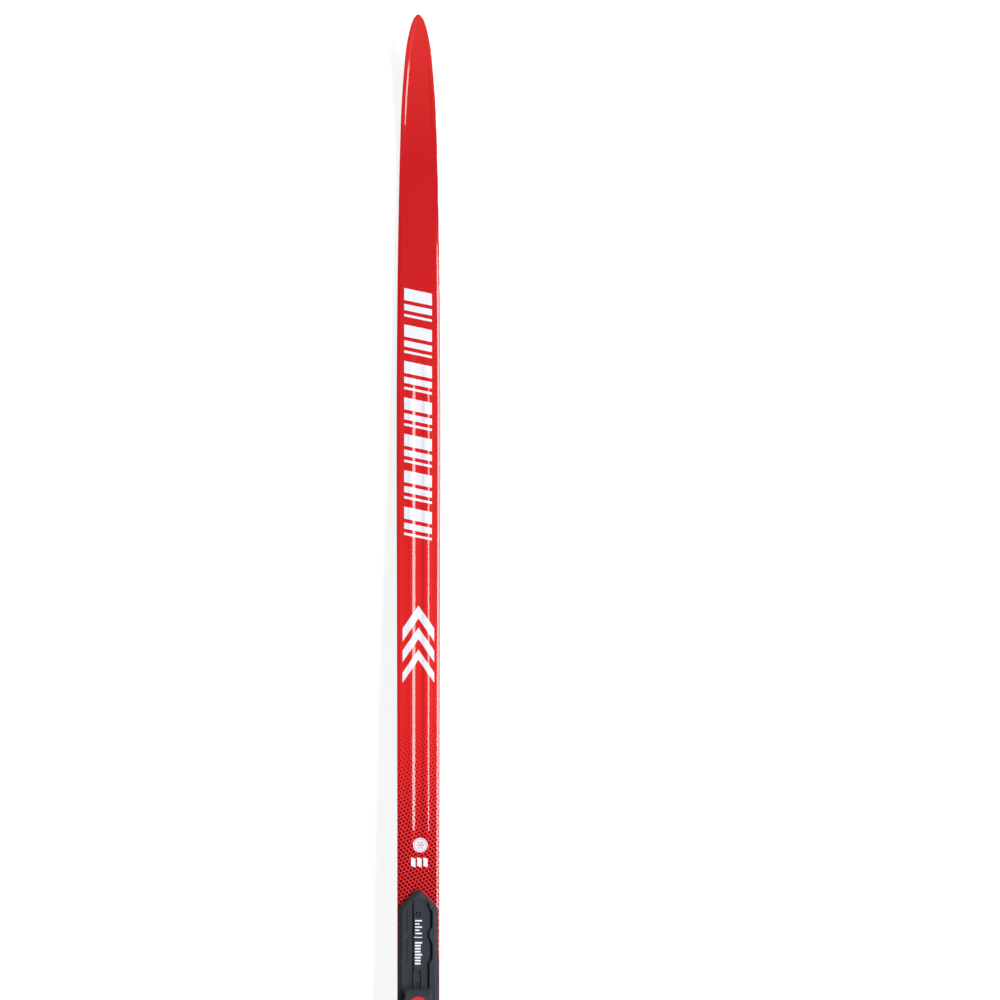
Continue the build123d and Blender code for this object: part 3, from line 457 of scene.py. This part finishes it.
# ---------------------------------------------------------------- printed graphics
def decal(name, outlines, mat, cell_x=0.45, cell_y=2.5, lift=0.05, level=None):
    """Outlines (mm, in plan) cut into cells and laid on the cap, or left whole at a level z."""
    bm = bmesh.new()
    for outline in outlines:
        bm.faces.new([bm.verts.new((x, y, 0)) for x, y in outline])
    bm.normal_update()
    if level is None:
        spans = []
        for axis in range(2):
            values = [v.co[axis] for v in bm.verts]
            spans.append((min(values), max(values)))
        for axis, cell in enumerate((cell_x, cell_y)):
            low, high = spans[axis]
            normal = [0, 0, 0]
            normal[axis] = 1
            for cut in np.arange(math.floor(low / cell) * cell, high, cell):
                place = [0, 0, 0]
                place[axis] = cut
                geom = bm.verts[:] + bm.edges[:] + bm.faces[:]
                bmesh.ops.bisect_plane(bm, geom=geom, dist=1e-5, plane_co=place,
                                       plane_no=normal)
    plan = np.array([v.co[:2] for v in bm.verts], float).reshape(-1, 2)
    x, y = plan[:, 0], plan[:, 1]
    if level is None:
        heights = z_top(y) - relief(x, TIP_Y - y) + lift
    else:
        heights = np.full_like(x, level)
    for v, z in zip(bm.verts, heights):
        v.co = Vector((v.co.x * MM, v.co.y * MM, float(z) * MM))
    for face in bm.faces:
        face.smooth = True
        if face.normal.z < 0:
            face.normal_flip()
    bmesh.ops.recalc_face_normals(bm, faces=bm.faces)
    bm.normal_update()
    if sum(face.normal.z for face in bm.faces) < 0:
        bmesh.ops.reverse_faces(bm, faces=bm.faces)
    mesh = bpy.data.meshes.new(name)
    bm.to_mesh(mesh)
    bm.free()
    mesh.materials.append(mat)
    ob = link_object(name, mesh)
    assign(ob)
    return ob


def slanted(x_from, x_to, y_top, width, lean=0.0):
    """Parallelogram across the ski, lower by lean at x_to than at x_from."""
    return [(x_from, y_top), (x_from, y_top - width),
            (x_to, y_top - width - lean), (x_to, y_top - lean)]


def polar(cx, cy, radius, angle):
    return cx + radius * math.cos(angle), cy + radius * math.sin(angle)


def disc(cx, cy, radius, count=48):
    return [polar(cx, cy, radius, 2 * math.pi * i / count) for i in range(count)]


def ring(cx, cy, inner, outer, count=48):
    out = []
    for i in range(count):
        start, end = 2 * math.pi * i / count, 2 * math.pi * (i + 1) / count
        out.append([polar(cx, cy, inner, start), polar(cx, cy, outer, start),
                    polar(cx, cy, outer, end), polar(cx, cy, inner, end)])
    return out


# Seven groups of three slanted bars: drop from the group's top, bar width
BAR_TOP, BAR_PITCH, BAR_LEAN = 790.0, 38.1, 6.0
BAR_GROUP = [(0.0, 12.5), (16.5, 6.5), (27.0, 2.6)]
bars = [slanted(-15.0, 14.0, BAR_TOP - k * BAR_PITCH - drop, width, BAR_LEAN)
        for k in range(7) for drop, width in BAR_GROUP]
decal("print_bars", bars, MATS["white"])

# Three chevrons pointing to the tip, each narrower than the one ahead
CHEVRON_TOP, CHEVRON_PITCH, CHEVRON_HALF, CHEVRON_LEAN = 458.0, 23.0, 16.5, 24.0
chevrons = []
for k in range(3):
    peak = CHEVRON_TOP - k * CHEVRON_PITCH
    width = 13.5 - k * 1.5
    chevrons.append(slanted(0.0, CHEVRON_HALF, peak, width, CHEVRON_LEAN))
    chevrons.append(slanted(-CHEVRON_HALF, 0.0, peak - CHEVRON_LEAN, width, -CHEVRON_LEAN))
decal("print_chevrons", chevrons, MATS["white"])

# Round badge holding a ring and a six-armed star
BADGE_X, BADGE_Y, BADGE_R = 2.1, 208.1, 7.6


def spoke(arm, start, end, half, offset=0.0, turn=0.0):
    """Bar along the arm's angle plus turn, starting from a point out along the arm."""
    cos, sin = math.cos(arm + turn), math.sin(arm + turn)
    x, y = polar(BADGE_X, BADGE_Y, offset, arm)
    return [(x + start * cos + half * sin, y + start * sin - half * cos),
            (x + end * cos + half * sin, y + end * sin - half * cos),
            (x + end * cos - half * sin, y + end * sin + half * cos),
            (x + start * cos - half * sin, y + start * sin + half * cos)]


decal("badge_disc", [disc(BADGE_X, BADGE_Y, BADGE_R)], MATS["white"], cell_y=1.5, lift=0.06)
marks = ring(BADGE_X, BADGE_Y, inner=6.1, outer=6.55)
for k in range(6):
    arm = math.radians(60 * k)
    marks.append(spoke(arm, start=0.35, end=4.6, half=0.22))
    for turn in (math.radians(50), -math.radians(50)):
        marks.append(spoke(arm, start=0.0, end=1.3, half=0.17, offset=2.9, turn=turn))
decal("badge_marks", marks, MATS["red"], cell_y=1.5, lift=0.10)

DASH_PITCH = 6.4
dashes = [slanted(-7.6 + k * DASH_PITCH, -3.0 + k * DASH_PITCH, y_top=195.4, width=9.0, lean=1.6)
          for k in range(3)]
decal("print_dashes", dashes, MATS["white"], lift=0.06)

# Dot pattern: a slanted lattice ahead of and behind the binding plate
DOT_STEP_A, DOT_STEP_B = np.array([2.51, -2.61]), np.array([1.31, 4.08])
DOT_ORIGIN = np.array([-19.1, 220.5])
DOT_REACH = 260  # lattice steps each way
DOT_MAX_X, DOT_REAR_Y, DOT_FRONT_Y = 22.4, -468, 370
PLATE_NOSE_Y, PLATE_OVERLAP = 161.0, 1.6
BARE_REAR_Y, BARE_FRONT_Y, NOSE_BARE_Y = -262, 84, 160
# Plate nose: distance behind its front, half width
PLATE_NOSE = np.array([(0, 0), (1.5, 4), (3.9, 6.4), (13.4, 16.2), (17.4, 19.4),
                       (22.6, 20.6), (65, 20.8), (75, 21.6)])
# Dot size ahead of and behind the plate: y, radius
DOTS_AHEAD = np.array([(60, 1.50), (155, 1.46), (218, 1.22), (290, 0.80), (340, 0.45),
                       (372, 0.15)])
DOTS_BEHIND = np.array([(-470, 0.15), (-430, 0.45), (-380, 0.8), (-330, 1.2), (-262, 1.46)])


def under_plate(x, y):
    """Whether a dot would be hidden by the plate, or lie in the bare length beside it."""
    if BARE_REAR_Y < y < BARE_FRONT_Y:
        return True
    plate_half = np.interp(PLATE_NOSE_Y - y, *PLATE_NOSE.T)
    return BARE_FRONT_Y <= y < NOSE_BARE_Y and abs(x) < plate_half - PLATE_OVERLAP


def build_dots():
    dots = []
    for i in range(-DOT_REACH, DOT_REACH + 1):
        for j in range(-DOT_REACH, DOT_REACH + 1):
            x, y = DOT_ORIGIN + i * DOT_STEP_A + j * DOT_STEP_B
            if abs(x) > DOT_MAX_X or not DOT_REAR_Y < y < DOT_FRONT_Y or under_plate(x, y):
                continue
            radius = float(np.interp(y, *(DOTS_AHEAD if y > 100 else DOTS_BEHIND).T))
            if (x - BADGE_X) ** 2 + (y - BADGE_Y) ** 2 < (7.2 + radius) ** 2:
                continue
            # dots that reach past the ski's edge are cut off just inside it
            limit = float(half_width(TIP_Y - y)) - 0.12
            outline = [(min(limit, max(-limit, px)), py)
                       for px, py in disc(x, y, radius, 12 if radius > 0.5 else 8)]
            xs = [p[0] for p in outline]
            if max(xs) - min(xs) > 0.15:
                dots.append(outline)
    # the cap rounds off towards its edge, so dots there are cut finer and lifted more
    inner, outer = [], []
    for outline in dots:
        reach = max(abs(p[0]) for p in outline)
        (inner if reach < 15.0 else outer).append(outline)
    decal("print_dots", inner, MATS["dot"], cell_x=0.9, lift=0.03)
    decal("print_dots_edge", outer, MATS["dot"], cell_x=0.3, lift=0.05)


build_dots()


# ---------------------------------------------------------------- layers below the cap
def slab(name, columns, rows, mat, bottom, top, node):
    """Closed strip: columns(back) gives x at each row, bottom(x, y) and top(y) give z."""
    x = np.stack([columns(back) for back in rows])
    count = x.shape[1]
    y = np.repeat((TIP_Y - rows)[:, None], count, 1)
    loop_x = np.concatenate([x, x[:, ::-1]], 1)
    loop_y = np.concatenate([y, y], 1)
    loop_z = np.concatenate([bottom(x, y), top(y)[:, ::-1]], 1)
    row_count, around = loop_x.shape
    faces = []
    for i in range(row_count - 1):
        row, after = i * around, (i + 1) * around
        for j in range(around):
            k = (j + 1) % around
            faces.append([row + j, row + k, after + k, after + j])
    for row in (0, (row_count - 1) * around):
        for j in range(count - 1):
            faces.append([row + j, row + j + 1, row + 2 * count - 2 - j, row + 2 * count - 1 - j])
    ob = make_mesh(name, points(loop_x, loop_y, loop_z), faces, mat, smooth_shade=False)
    assign(ob, node)


LAYER_ROWS = stations(
    [0.03, 0.12, 0.3, 0.55, 0.9, 1.4, 2, 2.8, 3.8, 5, 6.5, 8.5],
    [(11, 30, 3), (30, 120, 6), (120, 900, 14), (900, 1360, 40), (1360, CAP_END - 4, 14)],
    [CAP_END])
WALL_ROWS = stations([], [(205, 900, 14), (900, 1360, 40), (1360, 1925, 14)], [1925.0])

# Running base: the guide groove and the skin's pocket are real steps in it
SKIN_START, SKIN_END = TIP_Y - SKIN_FRONT_Y, TIP_Y - SKIN_REAR_Y
POCKET_MARGIN = 0.31
GROOVES = [(150.0, SKIN_START - 14.0), (SKIN_END + 14.0, LENGTH - 70.0)]
RECESS = 0.9


def pocket_half(y):
    """Half width of the skin, with its corners clipped."""
    rear_cut = np.clip(SKIN_CLIP - (y - SKIN_REAR_Y), 0, SKIN_CLIP)
    front_cut = np.clip(SKIN_CLIP - (SKIN_FRONT_Y - y), 0, SKIN_CLIP)
    return SKIN_HALF - rear_cut - front_cut


def base_columns(back):
    half = float(half_width(back))
    if half < 17:
        return mirrored(
            np.array([0, .1, .104, .136, .14, .4, .737, .741, .88, 1.0]) * half)
    in_pocket = SKIN_START - POCKET_MARGIN <= back <= SKIN_END + POCKET_MARGIN
    skin = float(pocket_half(TIP_Y - back)) if in_pocket else SKIN_HALF
    wall = skin + 0.3
    return mirrored(np.array([0, 2.3, 2.38, 3.0, 3.08, (skin + 3.3) / 2, skin + 0.22, wall,
                              (wall + half) / 2, half]))


def base_bottom(x, y):
    back = TIP_Y - y
    off_axis = np.abs(x)
    depth = np.zeros_like(x)
    for start, end in GROOVES:
        inside = (back > start) & (back < end)
        depth = np.where(inside & (off_axis <= 2.31), RECESS, depth)
        flank = inside & (off_axis > 2.31) & (off_axis < 3.01)
        depth = np.where(flank, RECESS * (3.05 - off_axis) / 0.75, depth)
    pocket = ((back >= SKIN_START - POCKET_MARGIN) & (back <= SKIN_END + POCKET_MARGIN)
              & (off_axis <= pocket_half(y) + 0.25))
    return z_base(y) + np.where(pocket, RECESS, depth)


def base_rows():
    """The layer rows, with more at the ends of the grooves and of the pocket."""
    extra = []
    for start, end in GROOVES:
        extra += [start, start + 0.6, end - 0.6, end]
    for inset in (-0.32, -0.3, 0.0, 5.0, 10.0):
        extra += [SKIN_START + inset, SKIN_END - inset]
    return np.unique(np.concatenate([LAYER_ROWS, extra]))


def wall_columns(side):
    def columns(back):
        half = float(half_width(back))
        return np.sort(side * np.array([half - GAP, half - 2.2]))
    return columns


slab("running_base", base_columns, base_rows(), MATS["base"],
     bottom=base_bottom, top=z_base_top, node="glide_base")
slab("lower_laminate_edge", lambda back: np.array([-1.0, 1.0]) * float(half_width(back)),
     LAYER_ROWS, MATS["laminate"], bottom=lambda x, y: z_laminate_low(y),
     top=z_laminate_high, node="lower_laminate")
for side, node in ((1, "sidewall_right"), (-1, "sidewall_left")):
    slab("strip_" + node, wall_columns(side), WALL_ROWS, MATS["sidewall"],
         bottom=lambda x, y: z_core(y), top=lambda y: z_skirt(y) - GAP,
         node=node)


def build_skin():
    """Mohair pile under the base, in combed tufts, with side walls up to its backing."""
    cols, rows = ((96, 900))
    x, y = np.meshgrid(np.linspace(-SKIN_HALF, SKIN_HALF, cols),
                       np.linspace(SKIN_REAR_Y, SKIN_FRONT_Y, rows))
    limit = pocket_half(y)
    x = x * limit / SKIN_HALF
    # streaks run along the ski: coarse noise drawn every third row and blended between
    coarse = rng.random((rows // 3 + 2, cols + 1))
    place = np.linspace(0, rows // 3, rows)
    lower = place.astype(int)
    blend = (place - lower)[:, None]
    streak = coarse[lower, :cols] * (1 - blend) + coarse[lower + 1, :cols] * blend
    fine = rng.random((rows, cols))
    from_side = (limit - np.abs(x)) / 1.2
    from_end = np.minimum(y - SKIN_REAR_Y, SKIN_FRONT_Y - y) / 2.0 + 0.1
    edge = np.clip(np.minimum(from_side, from_end), 0, 1)
    pile = -0.30 * edge * (0.35 + 0.45 * streak + 0.2 * fine)
    verts = points(x, y, z_base(y) + 0.02 + pile)
    top = points(x, y, z_base(y) + 0.33)
    faces = grid_faces(rows, cols)
    rim = (list(range(cols)) + [i * cols + cols - 1 for i in range(1, rows)]
           + [(rows - 1) * cols + j for j in range(cols - 2, -1, -1)]
           + [i * cols for i in range(rows - 2, 0, -1)])
    first = len(verts)
    for i in range(len(rim)):
        k = (i + 1) % len(rim)
        faces.append([rim[i], rim[k], first + k, first + i])
    skin = make_mesh("skin_mohair", np.concatenate([verts, top[rim]]), faces, MATS["skin"])
    assign(skin, "skin_pile")


build_skin()

# ---------------------------------------------------------------- CAD nodes shown as they are
# Node, material, bevel width in metres (0 for none), bevel segments
DRESSED = [
    ("upper_laminate", "laminate", 0, 0), ("core_foam", "foam", 0, 0),
    ("core_stringers", "wood", 0, 0), ("tip_spacer", "laminate", 0, 0),
    ("tail_spacer", "laminate", 0, 0), ("skin_backing", "skin_back", 0, 0),
    ("plate_bond_film", "film", 0, 0), ("tail_protector", "tail", 0.0005, 3),
    ("binding_plate", "plate", 0.00022, 2), ("toe_base", "body", 0.0003, 2),
    ("bar_seat", "steel", 0.00025, 2), ("jaw", "steel", 0.00025, 2),
    ("jaw_spring", "spring", 0, 0), ("flexor", "rubber", 0.0006, 3),
    ("toe_lever", "lever", 0.0005, 3), ("lever_inlay", "inlay", 0.0002, 2),
    ("lever_pin", "steel", 0, 0), ("position_latch", "latch", 0.0002, 2),
    ("latch_spring", "spring", 0, 0), ("heel_base", "body", 0.0003, 2),
    ("heel_pads", "pad", 0.0003, 2), ("heel_latch", "latch", 0.0002, 2),
    ("heel_latch_pin", "steel", 0, 0)]


def dress(node, key, width, segments):
    ob = nodes[node]
    ob.data.materials.clear()
    ob.data.materials.append(MATS[key])
    if width:
        weld = ob.modifiers.new("weld", "WELD")
        weld.merge_threshold = 1e-6
        bevel = ob.modifiers.new("bevel", "BEVEL")
        bevel.width = width
        bevel.segments = segments
        bevel.limit_method = "ANGLE"
        bevel.angle_limit = math.radians(32)
        bevel.use_clamp_overlap = True
        bevel.harden_normals = False


for entry in DRESSED:
    dress(*entry)

# Position scale on the plate's centre strip: five ticks, a cross line, eight finer ticks
SCALE_Z, GATE_Z = 30.04, 29.53
ticks = [slanted(-3.3, 3.8 if k % 2 == 0 else 1.2, 130.0 - k * 3.3, width=1.5)
         for k in range(5)]
ticks.append(slanted(-4.2, 4.2, 112.4, width=0.9))
ticks += [slanted(-3.6, 3.9 if k % 4 == 0 else 2.4, 107.2 - k * 3.1, width=1.8)
          for k in range(8)]
decal("plate_scale", ticks, MATS["white"], level=SCALE_Z)

# Painted shade: a near-black disc laid on the floor of the round gate recess in the strip,
# standing for the shade down in the recess
decal("gate_floor", [disc(0.0, 136.0, 2.75)], MATS["gate"], level=GATE_Z)

# ---------------------------------------------------------------- stage, metres
WORLD_LOW, WORLD_TOP = 0.62, 0.08  # grey at the horizon and overhead
WORLD_LEFT, WORLD_RIGHT = 0.6, 1.05  # brightness factor on each side
KEY_POWER, LOW_POWER = 212.0, 8.0
FLOOR_GLOW = 0.84  # light added where the camera sees the floor
FLOOR_Z, FLOOR_HALF = -0.0292, 30.0
LIGHT_TARGET = (0, 0.35, 0)
VIEW_WIDTH, LENS, SENSOR = 1.045, 600.0, 36.0  # metres; lens and sensor in mm


def build_floor():
    """Grey floor that glows for the camera only."""
    mat = material("floor", (0.50, 0.50, 0.50), rough=0.9, spec=0.0)
    tree = mat.node_tree
    new, link = tree.nodes.new, tree.links.new
    glow = new("ShaderNodeEmission")
    glow.inputs["Color"].default_value = (1, 1, 1, 1)
    glow.inputs["Strength"].default_value = FLOOR_GLOW
    add = new("ShaderNodeAddShader")
    mix = new("ShaderNodeMixShader")
    rays = new("ShaderNodeLightPath")
    plain = tree.nodes["Principled BSDF"].outputs[0]
    link(plain, add.inputs[0])
    link(glow.outputs[0], add.inputs[1])
    link(rays.outputs["Is Camera Ray"], mix.inputs[0])
    link(plain, mix.inputs[1])
    link(add.outputs[0], mix.inputs[2])
    link(mix.outputs[0], tree.nodes["Material Output"].inputs["Surface"])
    corners = [(x * FLOOR_HALF, y * FLOOR_HALF, FLOOR_Z)
               for x, y in ((-1, -1), (1, -1), (1, 1), (-1, 1))]
    mesh = bpy.data.meshes.new("floor")
    mesh.from_pydata(corners, [], [(0, 1, 2, 3)])
    mesh.materials.append(mat)
    link_object("floor", mesh)


def build_world():
    """Studio dim overhead and to the left, brighter low and to the right; camera sees white."""
    world = bpy.data.worlds.new("studio")
    bpy.context.scene.world = world
    world.use_nodes = True
    tree = world.node_tree
    new, link = tree.nodes.new, tree.links.new
    studio = tree.nodes["Background"]
    studio.inputs["Strength"].default_value = 1.0
    coords = new("ShaderNodeTexCoord")
    split = new("ShaderNodeSeparateXYZ")
    link(coords.outputs["Generated"], split.inputs["Vector"])
    height = new("ShaderNodeValToRGB")
    height.color_ramp.interpolation = "EASE"
    low, top = height.color_ramp.elements
    low.position, top.position = 0.0, 0.92
    low.color = (WORLD_LOW, WORLD_LOW, WORLD_LOW, 1)
    top.color = (WORLD_TOP, WORLD_TOP, WORLD_TOP, 1)
    link(split.outputs["Z"], height.inputs["Fac"])
    sideways = new("ShaderNodeMapRange")
    sideways.inputs["From Min"].default_value = -0.7
    sideways.inputs["From Max"].default_value = 0.7
    sideways.inputs["To Min"].default_value = WORLD_LEFT
    sideways.inputs["To Max"].default_value = WORLD_RIGHT
    link(split.outputs["X"], sideways.inputs["Value"])
    scaled = new("ShaderNodeVectorMath")
    scaled.operation = "SCALE"
    link(height.outputs["Color"], scaled.inputs[0])
    link(sideways.outputs["Result"], scaled.inputs["Scale"])
    link(scaled.outputs["Vector"], studio.inputs["Color"])
    white = new("ShaderNodeBackground")
    white.inputs["Color"].default_value = (1, 1, 1, 1)
    white.inputs["Strength"].default_value = 1.0
    mix = new("ShaderNodeMixShader")
    rays = new("ShaderNodeLightPath")
    link(rays.outputs["Is Camera Ray"], mix.inputs[0])
    link(studio.outputs[0], mix.inputs[1])
    link(white.outputs[0], mix.inputs[2])
    link(mix.outputs[0], tree.nodes["World Output"].inputs["Surface"])


def area_light(name, location, width, length, power):
    """Area light facing LIGHT_TARGET, its length kept as near to Y as it can be."""
    light = bpy.data.lights.new(name, "AREA")
    light.shape = "RECTANGLE"
    light.size, light.size_y = width, length
    light.energy = power
    ob = link_object(name, light)
    z_axis = (Vector(location) - Vector(LIGHT_TARGET)).normalized()
    y_axis = Vector((0, 1, 0)) - z_axis * z_axis.y
    y_axis.normalize()
    x_axis = y_axis.cross(z_axis)
    turn = Matrix((x_axis, y_axis, z_axis)).transposed().to_4x4()
    ob.matrix_world = Matrix.Translation(Vector(location)) @ turn


def build_camera():
    """Long lens looking straight down."""
    data = bpy.data.cameras.new("camera")
    data.type = "PERSP"
    data.lens = LENS
    data.sensor_width = SENSOR
    data.sensor_fit = "HORIZONTAL"
    data.clip_start, data.clip_end = 0.1, 100.0
    camera = link_object("camera", data)
    camera.location = (0.0852, 0.5682, VIEW_WIDTH * LENS / SENSOR)
    bpy.context.scene.camera = camera
    view = bpy.context.scene.view_settings
    view.view_transform = "Standard"
    view.look = "None"
    view.exposure = 0.0
    view.gamma = 1.0


build_floor()
build_world()
area_light("key_strip", (2.05, 0.3, 2.95), width=1.7, length=4.6, power=KEY_POWER)
area_light("low_fill", (-2.6, 0.3, 1.6), width=0.8, length=4.0, power=LOW_POWER)
build_camera()

bpy.context.view_layer.update()
